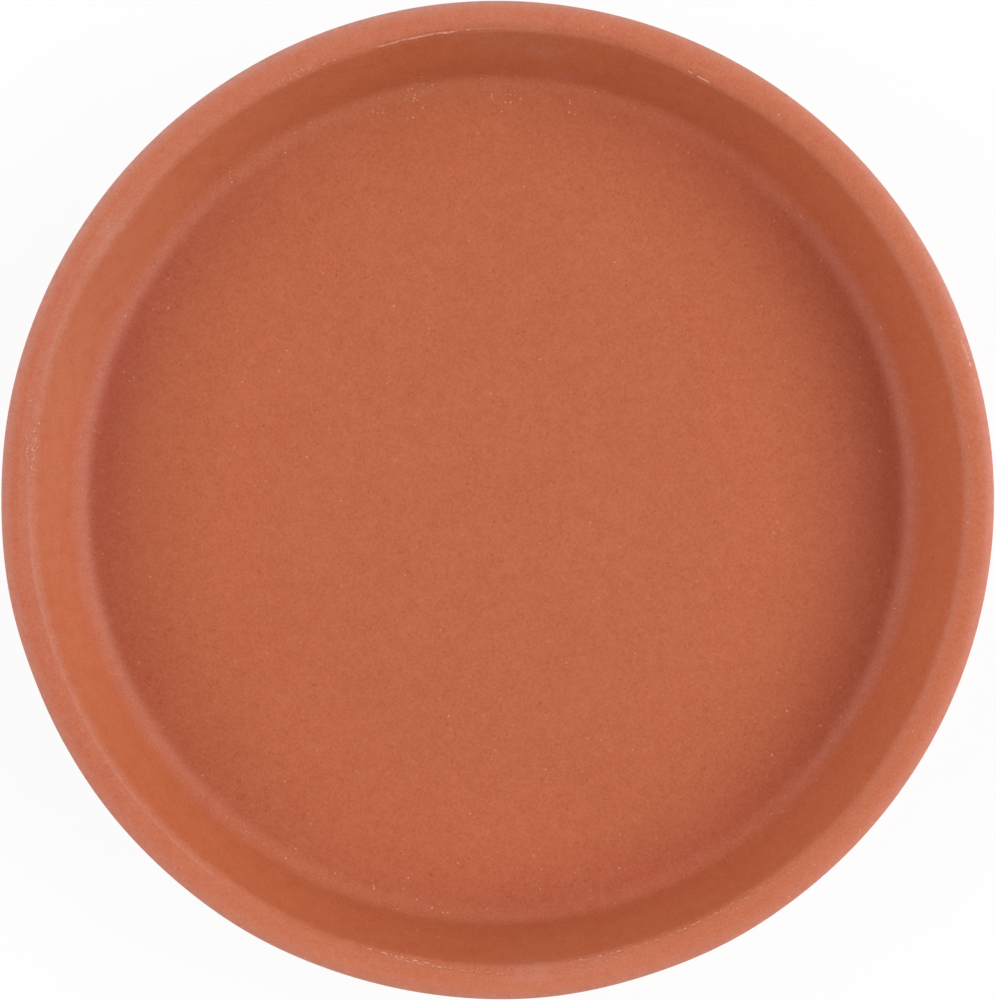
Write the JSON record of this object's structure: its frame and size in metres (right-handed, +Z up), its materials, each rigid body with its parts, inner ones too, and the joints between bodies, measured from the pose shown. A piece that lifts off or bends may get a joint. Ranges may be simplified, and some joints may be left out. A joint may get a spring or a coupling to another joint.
{
  "type": "plant saucer",
  "caption": "Round unglazed terracotta saucer with a flat floor, leaning wall and rounded rim, which stands under a plant pot and catches its drain water.",
  "frame": {"origin": "centre of the plane that the saucer stands on", "axes": "+Z up along the saucer's axis, out of its open side; X and Y lie in the standing plane and are interchangeable"},
  "size_m": [0.2, 0.2, 0.034],
  "materials": {
    "terracotta": "matte"
  },
  "bodies": {
    "root": {"saucer": "terracotta"}
  },
  "joints": []
}
